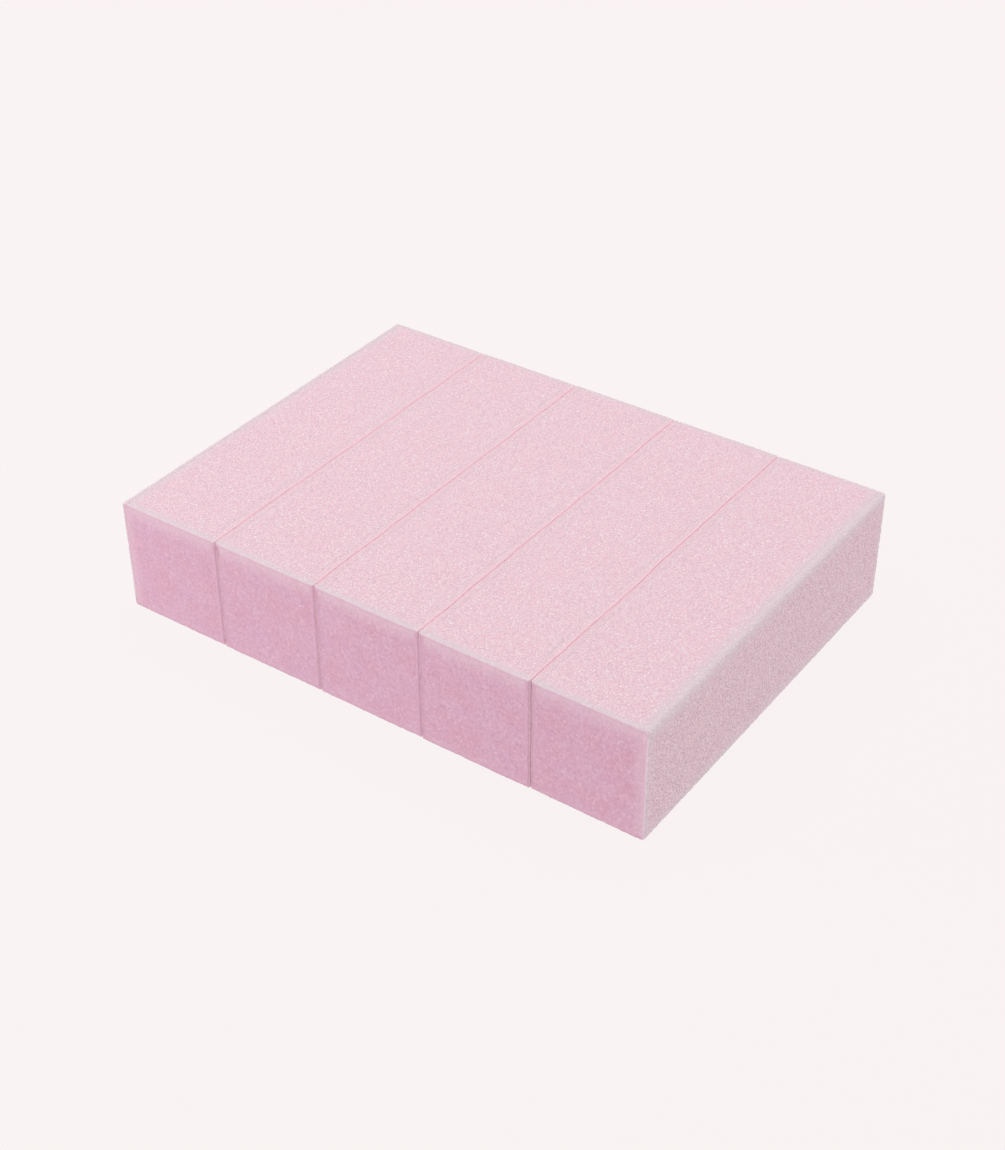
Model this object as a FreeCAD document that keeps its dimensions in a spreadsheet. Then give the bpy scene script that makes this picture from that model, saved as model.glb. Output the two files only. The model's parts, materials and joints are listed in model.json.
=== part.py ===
import FreeCAD, Part
import os
import Sketcher

# A row of five nail buffer blocks, side by side. Each block is a bar of soft foam whose four long
# faces carry a pale bond coat and, on that, four separate layers of fine abrasive. The bars are
# sawn to length last, so both ends are bare: foam inside, framed by the cut edges of the coats.
#
# Frame: X runs across the row, Y along the blocks, Z up. The origin is the middle of the row's
# underside. Each piece is drawn about its own block's middle and moved into place.

DRIVING_SIZES = [
    # alias, millimetres, what it is
    ("block_width", 25.0, "one block across the row, over its abrasive"),
    ("block_height", 26.0, "one block from its underside to its top, over its abrasive"),
    ("block_length", 92.0, "sawn length of a block"),
    ("side_gap", 0.3, "air between two neighbouring blocks"),
    ("coat_thick", 0.6, "bond coat on the foam"),
    ("grit_thick", 0.35, "abrasive layer on the bond coat"),
    ("edge_radius", 1.0, "rounding of the bond coat's long edges"),
    ("bare_margin", 1.35, "strip beside each long edge that the abrasive leaves free"),
    ("grit_bevel", 0.25, "run-out of the abrasive beside that strip"),
]
BLOCK_COUNT = 5
MIDDLE_BLOCK = (BLOCK_COUNT + 1) // 2

CORE_WIDTH = "Sizes.block_width - 2 * (Sizes.coat_thick + Sizes.grit_thick)"
CORE_HEIGHT = "Sizes.block_height - 2 * (Sizes.coat_thick + Sizes.grit_thick)"
COAT_WIDTH = "Sizes.block_width - 2 * Sizes.grit_thick"
COAT_HEIGHT = "Sizes.block_height - 2 * Sizes.grit_thick"
CORE_RADIUS = "Sizes.edge_radius - Sizes.coat_thick"
MID_HEIGHT = "Sizes.block_height / 2"

# The abrasive layers: name, width of the layer, turn about Y that lays it on its face, and the
# distance from the block's middle to the bonded side, across the row and upward.
GRIT_LAYERS = [
    ("grit_top", "Sizes.block_width", 0, "0", "Sizes.block_height / 2 - Sizes.grit_thick"),
    ("grit_right", "Sizes.block_height", 90, "Sizes.block_width / 2 - Sizes.grit_thick", "0"),
    ("grit_bottom", "Sizes.block_width", 180, "0", "Sizes.grit_thick - Sizes.block_height / 2"),
    ("grit_left", "Sizes.block_height", -90, "Sizes.grit_thick - Sizes.block_width / 2", "0"),
]

ALONG = FreeCAD.Vector(0, 1, 0)
SAME_PLACE = 0.001

doc = FreeCAD.newDocument("nail_buffer_blocks")
sheet = doc.addObject("Spreadsheet::Sheet", "Sizes")
for row, (alias, value, meaning) in enumerate(DRIVING_SIZES, start=1):
    sheet.set(f"A{row}", alias)
    sheet.set(f"B{row}", str(value))
    sheet.set(f"C{row}", meaning)
    sheet.setAlias(f"B{row}", alias)
doc.recompute()


def new_body(label):
    """An empty body whose label is the name of its piece."""
    body = doc.addObject("PartDesign::Body", label)
    body.Label = label
    return body


def origin_plane(body, role):
    """One of the body's own origin planes."""
    for feature in body.Origin.OriginFeatures:
        if feature.Role == role:
            return feature
    raise RuntimeError(f"{body.Label} has no {role}")


def rectangle(body, role, name, across, along):
    """A rectangle centred on the origin of a plane, its two sides bound to sheet expressions."""
    sketch = body.newObject("Sketcher::SketchObject", name)
    sketch.AttachmentSupport = [(origin_plane(body, role), "")]
    sketch.MapMode = "FlatFace"
    corners = [FreeCAD.Vector(x, y, 0) for x, y in ((-5, -5), (5, -5), (5, 5), (-5, 5))]
    for start, end in zip(corners, corners[1:] + corners[:1]):
        sketch.addGeometry(Part.LineSegment(start, end), False)
    for side in range(4):
        sketch.addConstraint(Sketcher.Constraint("Coincident", side, 2, (side + 1) % 4, 1))
    for side, direction in enumerate(("Horizontal", "Vertical", "Horizontal", "Vertical")):
        sketch.addConstraint(Sketcher.Constraint(direction, side))
    sketch.addConstraint(Sketcher.Constraint("Symmetric", 0, 1, 2, 1, -1, 1))
    width = sketch.addConstraint(Sketcher.Constraint("DistanceX", 0, 1, 0, 2, 10.0))
    sketch.renameConstraint(width, "across")
    length = sketch.addConstraint(Sketcher.Constraint("DistanceY", 1, 1, 1, 2, 10.0))
    sketch.renameConstraint(length, "along")
    sketch.setExpression("Constraints.across", across)
    sketch.setExpression("Constraints.along", along)
    return sketch


def bar(body, name, across, upward):
    """A bar along Y, centred on the origin: a section in the XZ plane, padded both ways."""
    section = rectangle(body, "XZ_Plane", f"{name}_section", across, upward)
    pad = body.newObject("PartDesign::Pad", f"{name}_pad")
    pad.Profile = section
    pad.SideType = "Symmetric"
    pad.setExpression("Length", "Sizes.block_length")
    section.Visibility = False
    doc.recompute()
    return pad


def edges_along(shape, half_width, height):
    """Names of the edges that run along Y, half_width either side of the middle, at a height.

    A height of None takes the edges at any height.
    """
    names = []
    for number, edge in enumerate(shape.Edges, start=1):
        if edge.Curve.TypeId != "Part::GeomLine":
            continue
        middle = edge.valueAt((edge.FirstParameter + edge.LastParameter) / 2)
        runs_along = abs(abs(edge.Curve.Direction.dot(ALONG)) - 1) < SAME_PLACE
        beside = abs(abs(middle.x) - half_width) < SAME_PLACE
        level = height is None or abs(abs(middle.z) - height) < SAME_PLACE
        if runs_along and beside and level:
            names.append(f"Edge{number}")
    return names


def round_edges(body, name, base, edges, radius):
    """Round the named edges of the feature that was made last."""
    fillet = body.newObject("PartDesign::Fillet", name)
    fillet.Base = (base, edges)
    fillet.setExpression("Radius", radius)
    doc.recompute()
    return fillet


def place(body, block, across, upward, turn=0):
    """Move a piece to its block: across and upward are counted from the block's middle."""
    column = block - MIDDLE_BLOCK
    pitch = "(Sizes.block_width + Sizes.side_gap)"
    body.Placement = FreeCAD.Placement(
        FreeCAD.Vector(0, 0, 0), FreeCAD.Rotation(ALONG, turn)
    )
    body.setExpression("Placement.Base.x", f"{column} * {pitch} + {across}")
    body.setExpression("Placement.Base.z", f"{MID_HEIGHT} + {upward}")


def make_foam_core(block):
    """The soft foam bar inside the coats, its long edges slightly rounded."""
    body = new_body(f"foam_core_{block}")
    pad = bar(body, f"core_{block}", CORE_WIDTH, CORE_HEIGHT)
    corners = edges_along(pad.Shape, pad.Shape.BoundBox.XMax, None)
    round_edges(body, f"core_{block}_edges", pad, corners, CORE_RADIUS)
    place(body, block, "0", "0")
    return body


def make_bond_coat(block):
    """The bond coat: a thin sleeve round the foam's four long faces, open at both sawn ends."""
    body = new_body(f"bond_coat_{block}")
    pad = bar(body, f"coat_{block}", COAT_WIDTH, COAT_HEIGHT)
    corners = edges_along(pad.Shape, pad.Shape.BoundBox.XMax, None)
    rounded = round_edges(body, f"coat_{block}_edges", pad, corners, "Sizes.edge_radius")
    solid_volume = rounded.Shape.Volume

    inside = rectangle(body, "XZ_Plane", f"coat_{block}_inside", CORE_WIDTH, CORE_HEIGHT)
    pocket = body.newObject("PartDesign::Pocket", f"coat_{block}_pocket")
    pocket.Profile = inside
    pocket.Type = "Length"
    pocket.SideType = "Symmetric"
    pocket.setExpression("Length", "Sizes.block_length")
    inside.Visibility = False
    doc.recompute()
    if pocket.Shape.Volume > solid_volume / 2:
        raise RuntimeError(f"{body.Label} was not hollowed")

    wall = sheet.coat_thick + sheet.grit_thick
    half_width = sheet.block_width / 2 - wall
    half_height = sheet.block_height / 2 - wall
    inner_corners = edges_along(pocket.Shape, half_width, half_height)
    round_edges(body, f"coat_{block}_inside_edges", pocket, inner_corners, CORE_RADIUS)
    place(body, block, "0", "0")
    return body


def make_grit_layer(block, name, face_width, turn, across, upward):
    """One abrasive layer: a thin plate on one long face, bevelled where it runs out."""
    body = new_body(f"{name}_{block}")
    width = f"{face_width} - 2 * Sizes.bare_margin"
    outline = rectangle(body, "XY_Plane", f"{name}_{block}_outline", width, "Sizes.block_length")
    pad = body.newObject("PartDesign::Pad", f"{name}_{block}_pad")
    pad.Profile = outline
    pad.setExpression("Length", "Sizes.grit_thick")
    outline.Visibility = False
    doc.recompute()
    box = pad.Shape.BoundBox
    chamfer = body.newObject("PartDesign::Chamfer", f"{name}_{block}_bevel")
    chamfer.Base = (pad, edges_along(pad.Shape, box.XMax, box.ZMax))
    chamfer.setExpression("Size", "Sizes.grit_bevel")
    doc.recompute()
    place(body, block, across, upward, turn)
    return body


def check(pieces):
    """Stop if any object of the document failed, or a piece isn't one closed, valid solid."""
    for thing in doc.Objects:
        for fault in ("Invalid", "Error"):
            if fault in thing.State:
                raise RuntimeError(f"{thing.Label} is {fault}")
    for piece in pieces:
        shape = piece.Shape
        if shape.isNull() or not shape.isValid() or len(shape.Solids) != 1:
            raise RuntimeError(f"{piece.Label} isn't one valid solid")


pieces = []
for block in range(1, BLOCK_COUNT + 1):
    pieces.append(make_foam_core(block))
    pieces.append(make_bond_coat(block))
    for layer in GRIT_LAYERS:
        pieces.append(make_grit_layer(block, *layer))
doc.recompute()
check(pieces)

os.makedirs("parts", exist_ok=True)
whole = FreeCAD.BoundBox()
for piece in pieces:
    piece.Shape.exportStep(f"parts/{piece.Label}.step")
    whole.add(piece.Shape.BoundBox)
print(f"{len(pieces)} pieces, {whole.XLength:.2f} x {whole.YLength:.2f} x {whole.ZLength:.2f} mm")
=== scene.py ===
import json
import math

import bpy
import numpy as np
from bpy.props import FloatProperty, FloatVectorProperty, PointerProperty
from mathutils import Matrix, Vector

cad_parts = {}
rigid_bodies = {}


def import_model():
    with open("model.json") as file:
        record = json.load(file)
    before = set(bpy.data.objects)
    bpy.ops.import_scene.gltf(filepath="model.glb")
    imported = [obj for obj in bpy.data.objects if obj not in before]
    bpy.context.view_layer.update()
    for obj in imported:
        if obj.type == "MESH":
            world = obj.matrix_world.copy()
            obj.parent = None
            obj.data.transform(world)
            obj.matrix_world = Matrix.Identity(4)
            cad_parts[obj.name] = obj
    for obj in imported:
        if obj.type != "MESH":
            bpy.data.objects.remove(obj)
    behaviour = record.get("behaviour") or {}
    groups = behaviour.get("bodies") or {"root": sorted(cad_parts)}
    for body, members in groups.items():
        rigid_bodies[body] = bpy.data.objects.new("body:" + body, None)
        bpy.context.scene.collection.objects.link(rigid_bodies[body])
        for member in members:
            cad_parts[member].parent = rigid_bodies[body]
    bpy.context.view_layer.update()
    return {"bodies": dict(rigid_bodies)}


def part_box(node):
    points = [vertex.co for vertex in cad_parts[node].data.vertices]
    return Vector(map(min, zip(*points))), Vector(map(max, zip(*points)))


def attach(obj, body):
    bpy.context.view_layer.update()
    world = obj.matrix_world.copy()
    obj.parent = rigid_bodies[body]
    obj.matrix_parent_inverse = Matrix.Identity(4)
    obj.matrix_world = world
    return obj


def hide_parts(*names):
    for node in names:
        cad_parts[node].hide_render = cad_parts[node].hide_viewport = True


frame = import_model()

bl_info = {
    "name": "Nail buffer blocks",
    "version": (1, 0, 0),
    "blender": (4, 5, 0),
    "location": "3D View > Sidebar > Buffer blocks",
    "description": "Builds a row of foam nail buffer blocks with their coats and abrasive faces",
    "category": "Object",
}

MM = 0.001
GLUE_DEPTH = 0.03 * MM  # how far the abrasive's underside sits in the bond coat
TUCK = 0.45 * MM  # how far an abrasive layer runs on under the resin beside its long borders
COAT_INSET = 0.03 * MM  # how far the bond coat's sawn ends stand back from the abrasive's
RING_INSET = 0.06 * MM  # how far its inner rim stands back, level with the foam's rim
INNER_RADIUS = 0.12 * MM  # rounding of the sleeve's inner corners
CUT_LAYER = 0.02 * MM  # points closer to an end than this are on the sawn surface
WEAR_DEPTH = 0.08 * MM  # how far the skin is worn down at the sawn ends
WEAR_REACH = 0.4 * MM
SEAM_RELIEF = 0.15  # relief of a face beside a neighbour, as a share of a free face's
PAINT = 0.86  # share of the floor's brightness that its paint gives back
BLOCKS = sorted(int(name.rsplit("_", 1)[1]) for name in frame["bodies"])
FRONT, BACK = -1, 1

# The four long faces: name, outward direction, and the direction across the face.
LONG_FACES = {
    "top": ((0, 0, 1), (1, 0, 0)),
    "right": ((1, 0, 0), (0, 0, -1)),
    "bottom": ((0, 0, -1), (-1, 0, 0)),
    "left": ((-1, 0, 0), (0, 0, 1)),
}


# ---------------------------------------------------------------- sizes, colours and light


class BufferSizes(bpy.types.PropertyGroup):
    """Sizes of the layers' surfaces, in metres."""

    grain_step: FloatProperty(
        name="Grain step",
        description="Distance between neighbouring grains of the abrasive's surface",
        default=0.32 * MM, precision=5, unit="LENGTH",
    )
    grain_height: FloatProperty(
        name="Grain height",
        description="How far the tallest grains stand over the hollows between them",
        default=0.12 * MM, precision=5, unit="LENGTH",
    )
    edge_radius: FloatProperty(
        name="Edge radius",
        description="Rounding of the row's free long edges",
        default=0.8 * MM, precision=5, unit="LENGTH",
    )
    seam_radius: FloatProperty(
        name="Seam radius",
        description="Rounding of the long edges that are pressed against a neighbour",
        default=0.3 * MM, precision=5, unit="LENGTH",
    )
    edge_wander: FloatProperty(
        name="Edge wander",
        description="How far the border of an abrasive layer wanders to and fro",
        default=0.35 * MM, precision=5, unit="LENGTH",
    )
    foam_step: FloatProperty(
        name="Foam step",
        description="Distance between the points of a sawn foam end",
        default=0.30 * MM, precision=5, unit="LENGTH",
    )
    foam_swell: FloatProperty(
        name="Foam swell",
        description="How far the middle of a sawn end stands out past its rim",
        default=0.05 * MM, precision=5, unit="LENGTH",
    )
    seam_wander: FloatProperty(
        name="Seam wander",
        description="How far the line between two blocks wanders to and fro",
        default=0.2 * MM, precision=5, unit="LENGTH",
    )
    seam_closing: FloatProperty(
        name="Seam closing",
        description="How far a face that meets a neighbour swells into the gap between them",
        default=0.14 * MM, precision=5, unit="LENGTH",
    )


class BufferColours(bpy.types.PropertyGroup):
    """Colours of the foam, the bond coat and the abrasive."""

    foam: FloatVectorProperty(
        name="Foam", description="Colour of the soft foam", subtype="COLOR",
        default=(0.745, 0.445, 0.58), min=0, max=1,
    )
    foam_rose: FloatVectorProperty(
        name="Rose foam", description="Colour of the foam's redder patches", subtype="COLOR",
        default=(0.73, 0.38, 0.49), min=0, max=1,
    )
    foam_lilac: FloatVectorProperty(
        name="Lilac foam", description="Colour of the foam's bluer patches", subtype="COLOR",
        default=(0.73, 0.44, 0.65), min=0, max=1,
    )
    resin: FloatVectorProperty(
        name="Resin", description="Colour of the bare bond coat", subtype="COLOR",
        default=(0.775, 0.675, 0.72), min=0, max=1,
    )
    # Painted light: the bare resin is painted brighter on the upright faces, to make up for their
    # shade
    resin_upright_brightened: FloatVectorProperty(
        name="Brightened upright resin", description="Colour of the bare bond coat on the upright faces",
        subtype="COLOR", default=(0.83, 0.715, 0.77), min=0, max=1,
    )
    resin_cut: FloatVectorProperty(
        name="Cut resin", description="Colour of the coats where they are sawn through",
        subtype="COLOR", default=(0.86, 0.71, 0.77), min=0, max=1,
    )
    # Painted light: pink light that neighbouring blocks reflect into each other, painted on the
    # edges that meet
    seam_bounce: FloatVectorProperty(
        name="Seam bounce", description="Colour of an edge that rubs on its neighbour",
        subtype="COLOR", default=(0.96, 0.655, 0.725), min=0, max=1,
    )
    grit: FloatVectorProperty(
        name="Grit", description="Colour of the abrasive", subtype="COLOR",
        default=(0.92, 0.65, 0.73), min=0, max=1,
    )
    grit_rose: FloatVectorProperty(
        name="Rose grit", description="Colour of the abrasive's redder clouds", subtype="COLOR",
        default=(0.94, 0.63, 0.71), min=0, max=1,
    )
    # Painted glints of the grains, which also carry the clear grains' own pale colour
    clear_grain_and_glint: FloatVectorProperty(
        name="Light grain", description="Colour of the clear grains", subtype="COLOR",
        default=(0.97, 0.90, 0.93), min=0, max=1,
    )
    # Painted shade in the hollows between grains, with random darker tone
    grain_tone_and_shade: FloatVectorProperty(
        name="Grain shade and tone", description="Colour of the hollows between grains", subtype="COLOR",
        default=(0.68, 0.47, 0.56), min=0, max=1,
    )


class BufferStage(bpy.types.PropertyGroup):
    """Floor, light and camera."""

    floor: FloatVectorProperty(
        name="Floor", description="Brightness of the pale floor", subtype="COLOR",
        default=(0.956, 0.905, 0.905), min=0, max=1,
    )
    floor_glow: FloatProperty(
        name="Floor glow", description="Share of the floor's brightness that no shadow takes away",
        default=0.94, min=0, max=1,
    )
    sky: FloatProperty(
        name="Sky", description="Strength of the even light all round", default=0.585, min=0,
    )
    softbox: FloatProperty(
        name="Softbox", description="Power of the wide light overhead, in watts",
        default=6.1, min=0, unit="POWER",
    )
    side_light: FloatProperty(
        name="Side light", description="Power of the light at the front left, in watts",
        default=0.85, min=0, unit="POWER",
    )
    back_light: FloatProperty(
        name="Back light", description="Power of the light at the back right, in watts",
        default=1.1, min=0, unit="POWER",
    )
    azimuth: FloatProperty(
        name="Azimuth", description="Turn of the camera round the row", subtype="ANGLE",
        default=math.radians(35.34),
    )
    elevation: FloatProperty(
        name="Elevation", description="Height of the camera's look above level",
        subtype="ANGLE", default=math.radians(35.93),
    )
    roll: FloatProperty(
        name="Roll", description="Turn of the camera about its own line of sight",
        subtype="ANGLE", default=math.radians(-0.29),
    )
    stand: FloatVectorProperty(
        name="Camera place", description="Where the camera stands", subtype="XYZ", unit="LENGTH",
        default=(0.1953, -0.2763, 0.2517), precision=4,
    )
    lens: FloatProperty(
        name="Lens", description="Focal length on a 36 mm sensor, in millimetres", default=62.5,
    )


# ---------------------------------------------------------------- numbers for surfaces


def smooth(values, low, high):
    """0 up to low, 1 from high on, and a soft S between: 3t^2 - 2t^3."""
    share = np.clip((values - low) / (high - low), 0, 1)
    return share * share * (3 - 2 * share)


def ripple(across, along, cell, seed, wrap=None):
    """Soft noise from -1 to 1 on a plane.

    Random numbers stand on a square lattice of the given cell, and between four of them the value
    is their mean, weighted by soft S curves. The lattice repeats after 256 cells, or after the
    length across that is given as wrap.
    """
    columns = max(2, round(wrap / cell)) if wrap else 256
    size = wrap / columns if wrap else cell
    lattice = np.random.default_rng(seed).uniform(-1, 1, (columns, 256))
    x = across / size
    y = along / cell
    x0 = np.floor(x).astype(int)
    y0 = np.floor(y).astype(int)
    fx = smooth(x - x0, 0, 1)
    fy = smooth(y - y0, 0, 1)
    left, right = x0 % columns, (x0 + 1) % columns
    low, high = y0 % 256, (y0 + 1) % 256
    near = lattice[left, low] * (1 - fx) + lattice[right, low] * fx
    far = lattice[left, high] * (1 - fx) + lattice[right, high] * fx
    return near * (1 - fy) + far * fy


def grain_depth(across, along, sizes, seed, wrap=None):
    """How far each point of a grainy skin lies under the tips of its tallest grains.

    Every point has its own random height, few of them tall, on low clumps about 0.9 mm wide and
    on slow waves about 7 mm long.
    """
    tall = np.random.default_rng(seed).uniform(0, 1, across.shape) ** 1.6
    clumps = ripple(across, along, 0.9 * MM, seed + 1, wrap)
    waves = ripple(across, along, 7 * MM, seed + 2, wrap)
    return sizes.grain_height * (1 - tall) + 0.012 * MM * (1 - clumps) + 0.012 * MM * (1 - waves)


def evenly(low, high, step):
    """Numbers from low to high, about step apart."""
    return np.linspace(low, high, max(2, round((high - low) / step) + 1))


def grid_faces(rows, columns, first=0, wrap_rows=False, wrap_columns=False):
    """Quads of a grid of points that is numbered row by row, closed on itself where asked."""
    row = np.arange(rows if wrap_rows else rows - 1)[:, None]
    column = np.arange(columns if wrap_columns else columns - 1)[None, :]
    next_row = (row + 1) % rows
    next_column = (column + 1) % columns
    corners = [
        row * columns + column,
        row * columns + next_column,
        next_row * columns + next_column,
        next_row * columns + column,
    ]
    return first + np.stack(np.broadcast_arrays(*corners), -1).reshape(-1, 4)


def border(rows, columns):
    """Numbers of a grid's outer points, once round in the sense of its quads."""
    low = np.arange(columns)
    right = np.arange(1, rows) * columns + columns - 1
    high = (rows - 1) * columns + np.arange(columns - 2, -1, -1)
    left = np.arange(rows - 2, 0, -1) * columns
    return np.concatenate([low, right, high, left])


def band(first_loop, second_loop):
    """Quads between two closed loops with the same number of points."""
    after = np.roll(np.arange(len(first_loop)), -1)
    quads = [first_loop, second_loop, second_loop[after], first_loop[after]]
    return np.stack(quads, -1)


def new_piece(name, points, quads, values, material, ngons=()):
    """A mesh object at the origin, its place in its points, with its named values and material."""
    mesh = bpy.data.meshes.new(name)
    faces = [tuple(quad) for quad in quads.tolist()] + [tuple(loop) for loop in ngons]
    mesh.from_pydata(points.reshape(-1, 3).tolist(), [], faces)
    for label, numbers in values.items():
        attribute = mesh.attributes.new(label, "FLOAT", "POINT")
        flat = np.broadcast_to(numbers, len(mesh.vertices)).astype(np.float32)
        attribute.data.foreach_set("value", np.ascontiguousarray(flat))
    face_outwards(mesh)
    mesh.shade_smooth()
    mesh.set_sharp_from_angle(angle=math.radians(55))
    mesh.materials.append(material)
    mesh.update()
    piece = bpy.data.objects.new(name, mesh)
    bpy.context.scene.collection.objects.link(piece)
    return piece


def face_outwards(mesh):
    """Turn a closed shell's faces outwards if its signed volume is negative."""
    mesh.calc_loop_triangles()
    corners = np.empty(len(mesh.loop_triangles) * 3, np.int32)
    mesh.loop_triangles.foreach_get("vertices", corners)
    places = np.empty(len(mesh.vertices) * 3, np.float32)
    mesh.vertices.foreach_get("co", places)
    triangles = places.reshape(-1, 3)[corners].reshape(-1, 3, 3).astype(float)
    volume = np.einsum("ij,ij->i", triangles[:, 0], np.cross(triangles[:, 1], triangles[:, 2]))
    if volume.sum() < 0:
        mesh.flip_normals()


# ---------------------------------------------------------------- one block's measures


def box_of(*nodes):
    """Lowest and highest corner of several nodes of the frame together."""
    boxes = [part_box(node) for node in nodes]
    low = np.min([box[0] for box in boxes], axis=0)
    high = np.max([box[1] for box in boxes], axis=0)
    return low, high


def block_outline(block):
    """Middle, and half width, half length and half height of a block over its abrasive.

    Each end is sawn up to 0.3 mm short, by its own random amount.
    """
    low, high = box_of(*(f"grit_{face}_{block}" for face in LONG_FACES))
    short = np.random.default_rng(40 + block).uniform(0, 0.3 * MM, 2)
    low[1] += short[0]
    high[1] -= short[1]
    return (low + high) / 2, (high - low) / 2


def saw_marks(x, z, end):
    """How far the saw cut deeper than the plane of the ends, at places of the row.

    Waves 3 mm and 0.8 mm long make it 0 to 0.16 mm. end is FRONT or BACK.
    """
    seed = 60 + end
    waves = 0.6 * ripple(x, z, 3 * MM, seed) + 0.4 * ripple(x, z, 0.8 * MM, seed + 10)
    return 0.08 * MM * (1 - waves)


def seam_shift(block, face, y, sizes):
    """How far the seam on that side of a block wanders to the right of its plane.

    It is the same for the two blocks that meet there, and 0 on a free side.
    """
    if not meets(block, face):
        return np.zeros_like(y)
    seed = 80 + block + (face == "right")
    waves = 0.7 * ripple(y * 0, y, 9 * MM, seed) + 0.3 * ripple(y * 0, y, 2.5 * MM, seed + 10)
    return sizes.seam_wander * waves


def meets(block, face):
    """Whether a face of a block lies against a neighbour."""
    return (face == "left" and block > BLOCKS[0]) or (face == "right" and block < BLOCKS[-1])


def corner_radii(block, sizes):
    """Rounding of a block's long edges: upper right, upper left, lower left and lower right."""
    right = sizes.seam_radius if meets(block, "right") else sizes.edge_radius
    left = sizes.seam_radius if meets(block, "left") else sizes.edge_radius
    return right, left, left, right


def worn_down(from_end):
    """How far the skin is worn down beside the sawn ends, by a soft S of the distance."""
    return WEAR_DEPTH * (1 - smooth(from_end, 0.0, WEAR_REACH))


def seam_swell(from_end, sizes):
    """How far a face swells towards its neighbour, all but at its ends, where a notch opens.

    It is a soft S of the distance from the end, from 0.05 mm back to the full seam closing.
    """
    open_end = 1 - smooth(from_end, -0.2 * MM, 0.6 * MM)
    return sizes.seam_closing * (1 - open_end) - 0.05 * MM * open_end


def skin_values(bare_by_edge, from_end, sawn, pale, seam_bounce, coarse):
    """The values that colour the coat and the abrasive.

    bare is how far the abrasive has thinned out: by the long edges, and over 2.4 mm towards the
    sawn ends. sawn is 1 on a sawn surface, pale is how white it is there, partly with painted
    light and shade, rubbed is how much painted pink light, reflected between neighbouring blocks
    in the seams, lies on the skin, and coarse is how upright the skin is: there the painted
    glints and shade of the grains are stronger and the resin is painted brighter.
    skin is, and coarse is how strongly its grains stand out.
    """
    bare_by_end = 0.95 * (1 - smooth(from_end, 0, 2.4 * MM))
    bare = 1 - (1 - bare_by_edge) * (1 - bare_by_end)
    return {"bare": bare, "sawn": sawn, "pale": pale, "seam_bounce": seam_bounce, "coarse": coarse}


def rim_paleness_and_light(block, out_x, out_z):
    """How white the sawn coats are painted: pale resin, whitest with painted light on top and on
    the free sides, hardly white below and not at a seam, where painted shade lies.
    """
    meeting = np.where(out_x > 0, meets(block, "right"), meets(block, "left"))
    # painted shade: no white at a seam, where the neighbour shades it; painted light on top and
    # painted shade below
    beside = np.where(meeting, 0.0, 0.85)
    upward = np.where(out_z > 0, 0.8, 0.12)
    share = smooth(abs(out_z), 0.3, 0.9)
    return beside * (1 - share) + upward * share


# ---------------------------------------------------------------- shader sums


class Signal:
    """A socket that takes part in sums, so that shader maths reads as an expression."""

    def __init__(self, tree, socket):
        self.tree = tree
        self.socket = socket

    def math(self, operation, *others):
        """A Math node of this value and the others."""
        inputs = dict(enumerate((self, *others)))
        return self.tree.add("ShaderNodeMath", {"operation": operation}, inputs).value()

    def __add__(self, other):
        return self.math("ADD", other)

    def __radd__(self, other):
        return self.math("ADD", other)

    def __sub__(self, other):
        return self.math("SUBTRACT", other)

    def __rsub__(self, other):
        return self.math("MULTIPLY_ADD", -1.0, other)

    def __mul__(self, other):
        return self.math("MULTIPLY", other)

    def __rmul__(self, other):
        return self.math("MULTIPLY", other)

    def __gt__(self, other):
        return self.math("GREATER_THAN", other)

    def __lt__(self, other):
        return self.math("LESS_THAN", other)

    def clamped(self):
        """This value kept from 0 to 1."""
        return self.math("MAXIMUM", 0.0).math("MINIMUM", 1.0)

    def between(self, low, high):
        """0 at low, 1 at high, and a soft S between."""
        settings = {"interpolation_type": "SMOOTHSTEP"}
        inputs = {"Value": self, "From Min": low, "From Max": high}
        return self.tree.add("ShaderNodeMapRange", settings, inputs).value("Result")


class Node:
    """A node whose outputs are read as signals."""

    def __init__(self, tree, node):
        self.tree = tree
        self.node = node

    def value(self, output=0):
        return Signal(self.tree, self.node.outputs[output])


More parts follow.
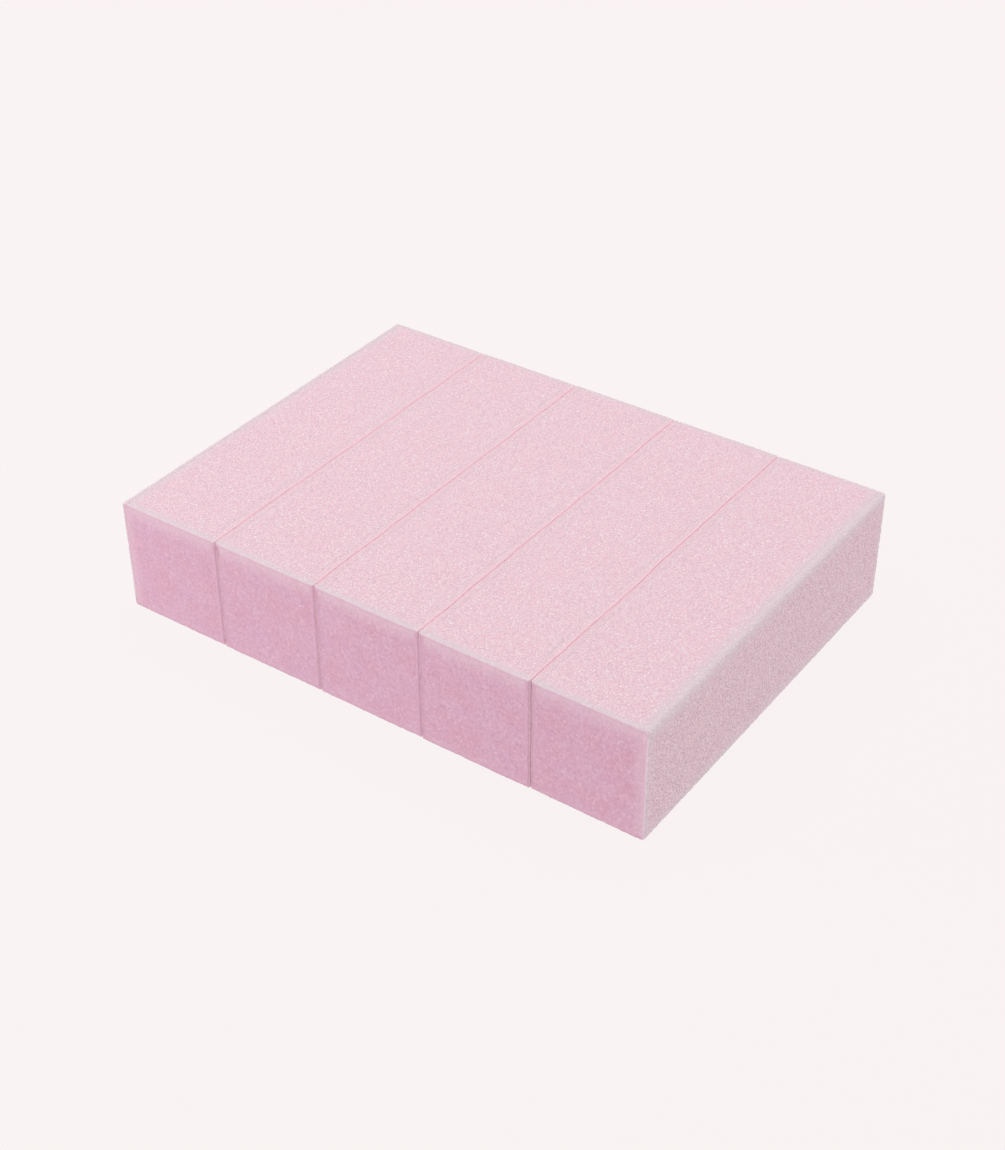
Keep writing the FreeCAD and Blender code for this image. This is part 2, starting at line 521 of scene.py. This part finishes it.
class ShaderTree:
    """The node tree of a new material or world, with one way of adding any node."""

    def __init__(self, name, library):
        self.owner = library.new(name)
        self.owner.use_nodes = True
        self.nodes = self.owner.node_tree.nodes
        self.links = self.owner.node_tree.links
        self.nodes.clear()

    def add(self, kind, settings=None, inputs=None):
        """A node of a kind: its settings first, then its sockets' values or links."""
        node = self.nodes.new(kind)
        for key, setting in (settings or {}).items():
            setattr(node, key, setting)
        for key, content in (inputs or {}).items():
            if isinstance(content, Signal):
                self.links.new(content.socket, node.inputs[key])
            else:
                node.inputs[key].default_value = content
        return Node(self, node)

    def place(self, shift=0.0):
        """The object's own coordinates, moved by the same amount along each axis."""
        here = self.add("ShaderNodeTexCoord").value("Object")
        if not shift:
            return here
        inputs = {0: here, 1: (shift, shift, shift)}
        return self.add("ShaderNodeVectorMath", {"operation": "ADD"}, inputs).value()

    def noise(self, size, detail=2.0, shift=0.0):
        """Soft noise from 0 to 1 with features of about that size, in metres."""
        inputs = {"Vector": self.place(shift), "Scale": 1 / size, "Detail": detail}
        return self.add("ShaderNodeTexNoise", {}, inputs).value(0)

    def grains(self, size, shift=0.0):
        """Cells of about that size: distance from each cell's middle, and two random numbers."""
        inputs = {"Vector": self.place(shift), "Scale": 1 / size}
        cells = self.add("ShaderNodeTexVoronoi", {}, inputs)
        parts = self.add("ShaderNodeSeparateColor", {}, {"Color": cells.value("Color")})
        return cells.value("Distance"), parts.value(0), parts.value(1)

    def attribute(self, name):
        """A named value that the mesh carries."""
        return self.add("ShaderNodeAttribute", {"attribute_name": name}).value("Fac")

    def mix(self, share, first, second):
        """Two colours mixed by a share from 0 to 1."""
        colours = [c if isinstance(c, Signal) else (*c, 1.0) for c in (first, second)]
        inputs = {0: share, 6: colours[0], 7: colours[1]}
        return self.add("ShaderNodeMix", {"data_type": "RGBA"}, inputs).value(2)

    def bump(self, height, distance, strength=1.0):
        """A normal from a height between 0 and 1, where 1 stands that far out."""
        inputs = {"Strength": strength, "Distance": distance, "Height": height}
        return self.add("ShaderNodeBump", {}, inputs).value(0)

    def surface(self, **inputs):
        """A Principled shader with these sockets, as the material's surface."""
        named = {key.replace("_", " "): content for key, content in inputs.items()}
        shader = self.add("ShaderNodeBsdfPrincipled", {}, named)
        self.add("ShaderNodeOutputMaterial", {}, {"Surface": shader.value(0)})
        return self.owner


# ---------------------------------------------------------------- materials


def foam_colour(tree, colours):
    """Colour of sawn foam, and the heights that go with it.

    Rose and lilac patches some millimetres wide lie under a mottle of cells with paler walls,
    whose hollow middles are painted darker as shade, and random darker fibres.
    """
    rose = tree.noise(6.5 * MM, 3, 0.11).between(0.40, 0.66)
    lilac = tree.noise(5.0 * MM, 3, 0.23).between(0.44, 0.70)
    near, tone, open_cell = tree.grains(0.60 * MM, 0.05)
    hollow = near.between(0.65, 0.15)
    fibre = tree.noise(0.55 * MM, 4, 0.31)
    mottle = tree.noise(1.5 * MM, 3, 0.07)
    colour = tree.mix(rose * 0.5, tuple(colours.foam), tuple(colours.foam_rose))
    colour = tree.mix(lilac * 0.35, colour, tuple(colours.foam_lilac))
    colour = tree.mix(mottle.between(0.35, 0.7) * 0.3, colour, tuple(colours.foam_rose))
    # painted shade in the cells' hollows, with random tone from the fibres
    shade = hollow * tone * 0.36 + (fibre - 0.5) * 1.1 + (open_cell > 0.88) * hollow * 0.30
    colour = tree.mix(shade.clamped(), colour, (0.60, 0.31, 0.43))
    pale = (0.5 - fibre) * 1.5 + (open_cell < 0.05) * hollow * 0.35
    colour = tree.mix(pale.clamped(), colour, (0.92, 0.72, 0.80))
    height = mottle * 0.4 + fibre * 0.8 - hollow * tone * 0.5
    return colour, height


def foam_material(colours):
    """Soft foam, painted paler near the free coats with light glowing through it, and half soaked
    with pale resin right beside them.
    """
    tree = ShaderTree("sawn_foam", bpy.data.materials)
    colour, height = foam_colour(tree, colours)
    painted_glow = tree.attribute("painted_glow")
    ragged = (tree.noise(0.8 * MM, 3, 0.4) - 0.5) * 1.1
    soaked = (tree.attribute("soaked") + ragged).between(0.25, 0.75)
    # painted light glowing through the foam near its top, its free sides and its bottom
    colour = tree.mix(painted_glow * 0.45, colour, tuple(colours.resin_cut))
    colour = tree.mix(soaked * 0.85, colour, tuple(colours.resin_cut))
    return tree.surface(
        Base_Color=colour,
        Roughness=0.78 + height * 0.1,
        Normal=tree.bump(height, 0.06 * MM, 0.8),
        Specular_IOR_Level=0.25,
        Sheen_Weight=0.12,
        Sheen_Roughness=0.6,
    )


def skin_material(name, colours, seam_colour):
    """The grainy skin: light grains, partly painted glints, with hollows between them painted dark
    as shade, in tinted resin that is greyer where the abrasive is thin.

    seam_colour is the colour of the layer's sawn end beside a neighbouring block; where it is
    darker than the foam, that is painted shade at the seam and below.
    """
    tree = ShaderTree(name, bpy.data.materials)
    far, pick, tone = tree.grains(0.40 * MM, 0.17)
    hollow = far.between(0.25, 0.70)
    body = 1.0 - hollow
    fine = tree.noise(0.34 * MM, 3, 0.41)
    patch = tree.noise(1.5 * MM, 3, 0.29)
    cloud = tree.noise(7.0 * MM, 3, 0.37)
    bare = (tree.attribute("bare") + (patch - 0.5) * 0.55).clamped()
    # how upright the skin is: the grains' painted glints and shade are painted stronger there, and
    # the brightened resin is used
    coarse = tree.attribute("coarse")
    colour = tree.mix(cloud.between(0.35, 0.7) * 0.5, tuple(colours.grit), tuple(colours.grit_rose))
    # the resin is painted brighter on the upright faces: painted light making up for their shade
    resin = tree.mix(coarse, tuple(colours.resin), tuple(colours.resin_upright_brightened))
    colour = tree.mix(bare * 0.95, colour, resin)
    # painted shade in the hollows between grains, with random darker tone per grain and from the
    # fine noise
    dark = hollow * (0.25 + tone * 0.55) + (fine - 0.5) * 1.1
    dark = dark * (1.0 - bare * 0.6) * (0.88 + coarse * 0.5)
    colour = tree.mix(dark.clamped(), colour, tuple(colours.grain_tone_and_shade))
    # painted glints on the grain tops, with the clear grains' own pale colour
    clear = body * pick * 0.45 + (pick > 0.86) * body * 0.55
    clear = clear * (1.0 - bare * 0.5) * (0.88 + coarse * 0.6)
    colour = tree.mix(clear.clamped(), colour, tuple(colours.clear_grain_and_glint))
    # painted pink light reflected between neighbouring blocks, on the edges and walls at the seams
    colour = tree.mix(tree.attribute("seam_bounce") * 0.85, colour, tuple(colours.seam_bounce))

    foam, foam_height = foam_colour(tree, colours)
    # at seams and below, the abrasive's sawn end is painted darker than the foam: painted shade
    cut = tree.mix(0.5, foam, seam_colour)
    # pale resin of the sawn coats, whiter with painted light on top and on the free sides, dull
    # with painted shade below and at seams
    white = (tree.attribute("pale") + (patch - 0.5) * 0.4).clamped()
    cut = tree.mix(white, cut, tuple(colours.resin_cut))
    sawn = tree.attribute("sawn")
    colour = tree.mix(sawn, colour, cut)
    height = (body * (0.5 + pick * 0.5) + fine * 0.5) * (1.0 - sawn) + foam_height * sawn * 0.5
    return tree.surface(
        Base_Color=colour,
        Roughness=0.74 - (pick > 0.86) * body * 0.4,
        Normal=tree.bump(height, 0.10 * MM, 0.8),
        Specular_IOR_Level=0.45,
    )


def resin_material(colours):
    """The bond coat, whose sawn end is like the foam at a seam."""
    return skin_material("resin_skin", colours, tuple(colours.foam))


def grit_material(colours):
    """The abrasive, whose sawn end is painted a little darker than the foam at a seam: painted
    shade.
    """
    return skin_material("grit_skin", colours, tuple(0.9 * part for part in colours.foam))


def floor_material(stage):
    """A pale floor that glows by itself for most of its brightness, so that shadows stay faint."""
    tree = ShaderTree("pale_floor", bpy.data.materials)
    lit = 1.0 - stage.floor_glow
    paint = tuple(PAINT * lit * part for part in stage.floor)
    colour = tree.mix(tree.noise(0.25, 2), paint, tuple(1.02 * part for part in paint))
    return tree.surface(
        Base_Color=colour,
        Roughness=0.9,
        Specular_IOR_Level=0.0,
        Emission_Color=(*stage.floor, 1.0),
        Emission_Strength=stage.floor_glow,
    )


def even_world(stage):
    """Even light all round, seen as bright as the floor is far away, so that no horizon shows."""
    tree = ShaderTree("even_light", bpy.data.worlds)
    seen = tree.add("ShaderNodeLightPath").value("Is Camera Ray")
    light = tuple(stage.sky * part for part in (1.0, 0.975, 0.975))
    far_floor = stage.floor_glow + PAINT * (1 - stage.floor_glow) * stage.sky
    colour = tree.mix(seen, light, tuple(far_floor * part for part in stage.floor))
    background = tree.add("ShaderNodeBackground", {}, {"Color": colour, "Strength": 1.0})
    tree.add("ShaderNodeOutputWorld", {}, {"Surface": background.value(0)})
    return tree.owner


def material(name, maker, settings):
    """A material by name, made the first time it is asked for."""
    return bpy.data.materials.get(name) or maker(settings)


# ---------------------------------------------------------------- foam cores


def foam_cap(block, low, high, end, sizes, seed):
    """One sawn end of a foam core, as a grid over its section, and its soaked and hazy shares.

    The end stands back from the block's sawn plane by the swell times 1 - (1 - x^4)(1 - z^4),
    where x and z run from -1 to 1, by ripples of a few hundredths of a millimetre and by the saw
    marks. It is soaked within half a millimetre of the free coats. Within a few millimetres of
    the top and the free sides, and a little above the bottom, it is painted paler: painted light
    shining through the foam, and light from the floor at the bottom.
    """
    x = evenly(low[0], high[0], sizes.foam_step)
    z = evenly(low[2], high[2], sizes.foam_step)
    grid_x, grid_z = np.meshgrid(x, z, indexing="ij")
    low, high = low.copy(), high.copy()
    block_middle, block_half = block_outline(block)
    low[1] = block_middle[1] - block_half[1]
    high[1] = block_middle[1] + block_half[1]
    middle = (low + high) / 2
    half = (high - low) / 2
    share_x = (grid_x - middle[0]) / half[0]
    share_z = (grid_z - middle[2]) / half[2]
    crown = (1 - share_x**4) * (1 - share_z**4)
    cells = ripple(grid_x, grid_z, 0.7 * MM, seed) * 0.02 * MM
    saw = ripple(grid_x, grid_z, 4.0 * MM, seed + 1) * 0.03 * MM
    inset = sizes.foam_swell * (1 - crown) + (0.05 * MM - cells - saw) * (0.3 + 0.7 * crown)
    inset = inset + saw_marks(grid_x, grid_z, end)
    y = middle[1] + end * (half[1] - inset)
    points = np.stack([grid_x, y, grid_z], -1)

    from_top = high[2] - grid_z
    soaked = 0.45 * (1 - smooth(from_top, 0.0, 0.5 * MM))
    # painted light: paler towards the top and the free sides, as light shining through the foam,
    # and a little above the bottom, as light from the floor
    painted_glow = 0.8 * (1 - smooth(from_top, 0.0, 3.8 * MM))
    for face, from_side in (("left", grid_x - low[0]), ("right", high[0] - grid_x)):
        if not meets(block, face):
            soaked = np.maximum(soaked, 0.45 * (1 - smooth(from_side, 0.0, 0.6 * MM)))
            painted_glow = np.maximum(painted_glow, 0.6 * (1 - smooth(from_side, 0.0, 2.8 * MM)))
    painted_glow = np.maximum(painted_glow, 0.25 * (1 - smooth(grid_z - low[2], 0.0, 1.2 * MM)))
    return points, soaked, painted_glow


class BUFFER_OT_foam_cores(bpy.types.Operator):
    """Make the soft foam core of every block, swollen and rippled at its sawn ends"""

    bl_idname = "buffer.foam_cores"
    bl_label = "Foam cores"

    def execute(self, context):
        sizes = context.scene.buffer_sizes
        foam = material("sawn_foam", foam_material, context.scene.buffer_colours)
        for block in BLOCKS:
            low, high = box_of(f"foam_core_{block}")
            front, *front_values = foam_cap(block, low, high, FRONT, sizes, 100 + block)
            back, *back_values = foam_cap(block, low, high, BACK, sizes, 200 + block)
            rows, columns = front.shape[:2]
            count = rows * columns
            edge = border(rows, columns)
            front_quads = grid_faces(rows, columns)[:, ::-1]
            back_quads = grid_faces(rows, columns, count)
            quads = np.concatenate([front_quads, back_quads, band(edge + count, edge)])
            points = np.concatenate([front.reshape(-1, 3), back.reshape(-1, 3)])
            soaked, painted_glow = (
                np.concatenate([near.ravel(), far.ravel()])
                for near, far in zip(front_values, back_values)
            )
            values = {"soaked": soaked, "painted_glow": painted_glow}
            piece = new_piece(f"block_{block}_foam", points, quads, values, foam)
            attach(piece, f"block_{block}")
            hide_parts(f"foam_core_{block}")
        return {"FINISHED"}


# ---------------------------------------------------------------- bond coats


def section_loop(half_x, half_z, radii, spans, turns):
    """Points once round a rectangle with rounded corners, seen from the front, their outward
    directions, and how far each is from the middle of the nearest corner along the surface.

    Each side is a straight run, at the given spans from -1 to 1, followed by a quarter circle
    about the corner's centre, at the given turns.
    """
    places, directions, distances = [], [], []
    for quarter, after in enumerate(radii):
        before = radii[quarter - 1]
        angle = quarter * math.pi / 2
        out = np.array([math.cos(angle), math.sin(angle)])
        onward = np.array([-out[1], out[0]])
        reach, width = (half_x, half_z) if quarter % 2 == 0 else (half_z, half_x)
        share = (1 + spans[quarter % 2]) / 2
        run = 2 * width - before - after
        along = before - width + share * run
        places.append(out * reach + along[:, None] * onward)
        directions.append(np.broadcast_to(out, (len(share), 2)))
        from_start = before * math.pi / 4 + share * run
        from_finish = after * math.pi / 4 + (1 - share) * run
        distances.append(np.minimum(from_start, from_finish))
        swing = np.cos(turns)[:, None] * out + np.sin(turns)[:, None] * onward
        places.append(out * (reach - after) + onward * (width - after) + after * swing)
        directions.append(swing)
        distances.append(after * abs(turns - math.pi / 4))
    return np.concatenate(places), np.concatenate(directions), np.concatenate(distances)


def section_steps(half):
    """Where a coat's section has points: spans of its sides, and turns of its corners.

    They stand close together on the strips beside the corners, which stay bare, and far apart
    under the abrasive.
    """
    fine, coarse = 0.26 * MM, 1.5 * MM
    strip = 2.8 * MM  # a little wider than what the abrasive leaves free
    spans = []
    for width in (half[2], half[0]):
        beside = evenly(-width, -width + strip, fine)
        between = evenly(-width + strip, width - strip, coarse)[1:-1]
        spans.append(np.concatenate([beside, between, -beside[::-1]]) / width)
    turns = evenly(0, math.pi / 2, math.pi / 8)[1:-1]
    return spans, turns


def bond_coat_surface(block, sizes):
    """The closed sleeve of a bond coat, as a grid round its section and along its wall.

    Outside, the section is the block's rounded outline with grains, sunk under the abrasive by a
    soft S of the distance from the corner. Where the block meets a neighbour it swells towards it
    and follows the wandering seam. The wall turns in at both sawn ends, which have saw marks, and
    runs back inside, along the foam.
    """
    middle, half = block_outline(block)
    core_low, core_high = box_of(f"foam_core_{block}")
    coat_low, coat_high = box_of(f"bond_coat_{block}")
    core = (core_high - core_low) / 2
    under_grit = half[0] - (coat_high[0] - coat_low[0]) / 2
    spans, turns = section_steps(half)
    radii = corner_radii(block, sizes)
    places, directions, distance = section_loop(half[0], half[2], radii, spans, turns)
    inner, _, _ = section_loop(core[0], core[2], (INNER_RADIUS,) * 4, spans, turns)
    steps = np.linalg.norm(np.roll(places, -1, 0) - places, axis=1)
    around = np.concatenate([[0], np.cumsum(steps)[:-1]])
    reach = half[1] - COAT_INSET
    along = evenly(-reach, reach, 0.32 * MM)
    grid_u, grid_v = np.meshgrid(around, along, indexing="ij")

    from_end = reach - abs(grid_v)
    sink = (under_grit * 0.95) * smooth(distance, 1.0 * MM, 2.1 * MM)
    grain = grain_depth(grid_u, grid_v, sizes, 300 + 10 * block, steps.sum())
    bared = 1 - smooth(sink, 0.1 * MM, 0.3 * MM)
    facing = abs(directions[:, 0]) * np.where(
        directions[:, 0] > 0, meets(block, "right"), meets(block, "left")
    )
    grain = grain * (bared * (1 - (1 - SEAM_RELIEF) * facing))[:, None]
    end_wear = worn_down(from_end) * bared[:, None]
    closing = seam_swell(from_end, sizes)
    depth = sink[:, None] + grain + end_wear - closing * facing[:, None]
    flat = places[:, None, :] - depth[:, :, None] * directions[:, None, :]
    place_y = grid_v + middle[1]
    on_right = places[:, 0] > 0
    meeting = np.where(on_right, meets(block, "right"), meets(block, "left"))
    shift = np.where(
        on_right[:, None],
        seam_shift(block, "right", place_y, sizes),
        seam_shift(block, "left", place_y, sizes),
    )
    held = np.maximum(facing, 1 - smooth(distance, 0.4 * MM, 1.6 * MM))
    outer_x = flat[..., 0] + shift * held[:, None]
    outer = np.stack([outer_x, grid_v, flat[..., 1]], -1)
    cut = [
        saw_marks(outer_x[:, row] + middle[0], flat[:, row, 1] + middle[2], end)
        for row, end in ((0, FRONT), (-1, BACK))
    ]
    outer[:, 0, 1] += cut[0]
    outer[:, -1, 1] -= cut[1]

    ring = np.zeros((len(places), 3))
    ring[:, [0, 2]] = inner
    inner_cut = [
        saw_marks(inner[:, 0] + middle[0], inner[:, 1] + middle[2], end) for end in (FRONT, BACK)
    ]
    flush = half[1] - RING_INSET
    back_inner = ring + [0, flush, 0]
    back_inner[:, 1] -= inner_cut[1]
    front_inner = ring - [0, flush, 0]
    front_inner[:, 1] += inner_cut[0]
    back_middle = (outer[:, -1] + back_inner) / 2
    front_middle = (outer[:, 0] + front_inner) / 2
    inside = np.stack([back_middle, back_inner, front_inner, front_middle], 1)
    points = np.concatenate([outer, inside], 1) + middle

    bare = np.where(meeting, 0.25, 1.0) * (1 - smooth(distance, 0, 4.2 * MM))
    # painted pink light reflected from the neighbour, on the corner beside a seam and on the wall
    # that faces it
    beside = 0.6 * meeting * (1 - smooth(distance, 0.2 * MM, 0.7 * MM))
    inward = smooth(facing, 0.1, 0.6) * (1 - 0.75 * smooth(distance, 0.5 * MM, 1.3 * MM))
    seam_bounce = np.maximum(inward, beside)[:, None]
    seam_bounce = seam_bounce * smooth(from_end, -2.5 * MM, 3.0 * MM)
    pale = rim_paleness_and_light(block, directions[:, 0], directions[:, 1])[:, None]

    def whole(values, inside_values=(0, 0, 0, 0)):
        """The values of the outer points, then those of the wall's other points along it."""
        grid = np.broadcast_to(values, outer.shape[:2])
        return np.concatenate([grid, np.broadcast_to(inside_values, inside.shape[:2])], 1)

    values = skin_values(
        whole(bare[:, None]),
        whole(from_end),
        whole(from_end < CUT_LAYER, (1, 1, 1, 1)),
        whole(pale, pale * [0.4, 0.2, 0.2, 0.4]),
        whole(seam_bounce),
        whole(abs(directions[:, :1])),
    )
    return points, {name: numbers.ravel() for name, numbers in values.items()}


class BUFFER_OT_bond_coats(bpy.types.Operator):
    """Make the pale resin sleeve of every block, bare along its rounded edges and sawn ends"""

    bl_idname = "buffer.bond_coats"
    bl_label = "Bond coats"

    def execute(self, context):
        sizes = context.scene.buffer_sizes
        resin = material("resin_skin", resin_material, context.scene.buffer_colours)
        for block in BLOCKS:
            points, values = bond_coat_surface(block, sizes)
            rows, columns = points.shape[:2]
            quads = grid_faces(rows, columns, wrap_rows=True, wrap_columns=True)
            piece = new_piece(f"block_{block}_bond_coat", points, quads, values, resin)
            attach(piece, f"block_{block}")
            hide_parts(f"bond_coat_{block}")
        return {"FINISHED"}


# ---------------------------------------------------------------- abrasive layers


def grit_slab(block, face, sizes):
    """One abrasive layer as a closed slab: its rough outer side, four walls and a flat underside.

    The outer side stands at the block's outline less the depth of its grains, which are taller on
    the free upright faces and nearly flat where a neighbour lies. Near the long borders it sinks
    away under the resin, by a soft S of the distance from a border that wanders to and fro.
    """
    out, over = (np.array(vector, float) for vector in LONG_FACES[face])
    length = np.array([0.0, 1.0, 0.0])
    middle, half = block_outline(block)
    low, high = box_of(f"grit_{face}_{block}")
    seed = 1000 + 100 * block + 10 * list(LONG_FACES).index(face)
    reach = abs(half @ out)
    bonded = reach - abs((high - low) @ out) - GLUE_DEPTH
    upright = abs(out[0])
    roughness = SEAM_RELIEF if meets(block, face) else 1.0 + 0.5 * upright
    half_width = abs((high - low) @ over) / 2 + TUCK
    across = evenly(-half_width, half_width, sizes.grain_step)
    along = evenly(-half[1], half[1], sizes.grain_step)
    grid_s, grid_t = np.meshgrid(across, along, indexing="ij")
    jitter = np.random.default_rng(seed + 9).uniform(-0.28, 0.28, (2, *grid_s.shape))
    jitter[:, [0, -1], :] = 0
    jitter[:, :, [0, -1]] = 0
    grid_s = grid_s + jitter[0] * sizes.grain_step
    grid_t = grid_t + jitter[1] * sizes.grain_step

    wander = sizes.edge_wander * (
        0.6 * ripple(grid_s, grid_t, 2.4 * MM, seed + 3)
        + 0.4 * ripple(grid_s, grid_t, 0.7 * MM, seed + 4)
    )
    from_border = half_width - abs(grid_s)
    run_out = 0.24 * MM * (1 - smooth(from_border + wander, 0.0, 0.9 * MM))
    from_end = half[1] - abs(grid_t)
    end_wear = worn_down(from_end)
    grain = grain_depth(grid_s, grid_t, sizes, seed) * roughness
    closing = meets(block, face) * seam_swell(from_end, sizes)
    height = reach - grain - run_out - end_wear + closing
    top = middle + over * grid_s[..., None] + length * grid_t[..., None] + out * height[..., None]
    top[..., 0] += upright * seam_shift(block, face, top[..., 1], sizes)
    for column, end in ((0, FRONT), (-1, BACK)):
        top[:, column, 1] -= end * saw_marks(top[:, column, 0], top[:, column, 2], end)
    rows, columns = grid_s.shape
    edge = border(rows, columns)
    top = top.reshape(-1, 3)
    foot = top[edge] + out * (bonded - height.ravel()[edge])[:, None]
    points = np.concatenate([top, foot])
    feet = rows * columns + np.arange(len(edge))
    quads = np.concatenate([grid_faces(rows, columns), band(edge, feet)])

    toward_x = np.sign(grid_s) * over[0] + out[0]
    meeting = np.where(toward_x > 0, meets(block, "right"), meets(block, "left"))
    radius = np.where(meeting, sizes.seam_radius, sizes.edge_radius)
    from_edge = abs(half @ over) - abs(grid_s) - radius * (1 - math.pi / 4)
    bare = np.where(meeting, 0.25, 1.0) * (1 - smooth(from_edge, 0, 4.2 * MM))
    pale = rim_paleness_and_light(block, np.full(grid_s.shape, out[0]), np.full(grid_s.shape, out[2]))
    # painted pink light reflected from the neighbour, near the borders and ends of a face that
    # meets it
    near_border = 0.3 * (1 - smooth(from_border, 0.0, 1.2 * MM))
    near_end = 0.8 * (1 - smooth(from_end, 0.3 * MM, 1.3 * MM))
    seam_bounce = meets(block, face) * np.maximum(near_border, near_end)
    # how upright the face is: stronger painted glints and shade, and brighter painted resin
    coarse = np.full(grid_s.shape, upright)
    values = skin_values(bare, from_end, from_end < CUT_LAYER, pale, seam_bounce, coarse)
    values = {name: numbers.ravel() for name, numbers in values.items()}
    values = {name: np.concatenate([part, part[edge]]) for name, part in values.items()}
    return points, quads, [feet[::-1].tolist()], values


class BUFFER_OT_grit_layers(bpy.types.Operator):
    """Make the abrasive layer on each of the four long faces of every block"""

    bl_idname = "buffer.grit_layers"
    bl_label = "Abrasive layers"

    def execute(self, context):
        sizes = context.scene.buffer_sizes
        grit = material("grit_skin", grit_material, context.scene.buffer_colours)
        for block in BLOCKS:
            for face in LONG_FACES:
                points, quads, underside, values = grit_slab(block, face, sizes)
                name = f"block_{block}_grit_{face}"
                piece = new_piece(name, points, quads, values, grit, underside)
                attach(piece, f"block_{block}")
                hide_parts(f"grit_{face}_{block}")
        return {"FINISHED"}


# ---------------------------------------------------------------- stage


def add_area_light(name, place, target, size, watts, colour):
    """A square soft light at a place, facing a target."""
    light = bpy.data.lights.new(name, "AREA")
    light.shape = "SQUARE"
    light.size = size
    light.energy = watts
    light.color = colour
    lamp = bpy.data.objects.new(name, light)
    lamp.location = place
    lamp.visible_camera = False
    lamp.rotation_euler = (Vector(target) - Vector(place)).to_track_quat("-Z", "Y").to_euler()
    bpy.context.scene.collection.objects.link(lamp)


class BUFFER_OT_stage(bpy.types.Operator):
    """Make the pale floor, the soft light and the camera"""

    bl_idname = "buffer.stage"
    bl_label = "Floor, light and camera"

    def execute(self, context):
        stage = context.scene.buffer_stage
        span = 6.0
        x, y = np.meshgrid([-span, span], [-span, span], indexing="ij")
        points = np.stack([x, y, np.full_like(x, -0.02 * MM)], -1)
        floor = new_piece("floor", points, grid_faces(2, 2), {}, floor_material(stage))
        if floor.data.polygons[0].normal.z < 0:
            floor.data.flip_normals()

        context.scene.world = even_world(stage)
        context.scene.view_settings.view_transform = "Standard"
        warm = (1.0, 0.985, 0.98)
        add_area_light("softbox", (-0.15, 0.1, 1.1), (0, 0, 0), 1.2, stage.softbox, warm)
        add_area_light(
            "side_light", (-0.42, -0.26, 0.09), (-0.03, -0.046, 0.013), 0.25, stage.side_light, warm
        )
        add_area_light(
            "back_light", (0.24, 0.60, 0.07), (0.063, 0.0, 0.013), 0.25, stage.back_light,
            (0.96, 0.96, 1.0),
        )

        data = bpy.data.cameras.new("camera")
        data.lens = stage.lens
        data.sensor_width = 36.0
        data.clip_start = 0.01
        data.clip_end = 50.0
        camera = bpy.data.objects.new("camera", data)
        context.scene.collection.objects.link(camera)
        back = Vector(
            (
                math.sin(stage.azimuth) * math.cos(stage.elevation),
                -math.cos(stage.azimuth) * math.cos(stage.elevation),
                math.sin(stage.elevation),
            )
        )
        turn = (-back).to_track_quat("-Z", "Y").to_matrix()
        turn = turn @ Matrix.Rotation(stage.roll, 3, "Z")
        camera.matrix_world = Matrix.Translation(stage.stand) @ turn.to_4x4()
        context.scene.camera = camera
        return {"FINISHED"}


# ---------------------------------------------------------------- panel and registration


OPERATORS = (
    BUFFER_OT_stage,
    BUFFER_OT_foam_cores,
    BUFFER_OT_bond_coats,
    BUFFER_OT_grit_layers,
)


class BUFFER_PT_blocks(bpy.types.Panel):
    """Lists the sizes, colours and steps of the buffer blocks"""

    bl_idname = "BUFFER_PT_blocks"
    bl_label = "Nail buffer blocks"
    bl_space_type = "VIEW_3D"
    bl_region_type = "UI"
    bl_category = "Buffer blocks"

    def draw(self, context):
        layout = self.layout
        scene = context.scene
        for settings in (scene.buffer_sizes, scene.buffer_colours, scene.buffer_stage):
            box = layout.box()
            for name in type(settings).__annotations__:
                box.prop(settings, name)
        for operator in OPERATORS:
            layout.operator(operator.bl_idname)


CLASSES = (BufferSizes, BufferColours, BufferStage, *OPERATORS, BUFFER_PT_blocks)


def register():
    for cls in CLASSES:
        bpy.utils.register_class(cls)
    bpy.types.Scene.buffer_sizes = PointerProperty(type=BufferSizes)
    bpy.types.Scene.buffer_colours = PointerProperty(type=BufferColours)
    bpy.types.Scene.buffer_stage = PointerProperty(type=BufferStage)


def unregister():
    del bpy.types.Scene.buffer_stage
    del bpy.types.Scene.buffer_colours
    del bpy.types.Scene.buffer_sizes
    for cls in reversed(CLASSES):
        bpy.utils.unregister_class(cls)


def main():
    register()
    bpy.ops.buffer.stage()
    bpy.ops.buffer.foam_cores()
    bpy.ops.buffer.bond_coats()
    bpy.ops.buffer.grit_layers()


if __name__ == "__main__":
    main()
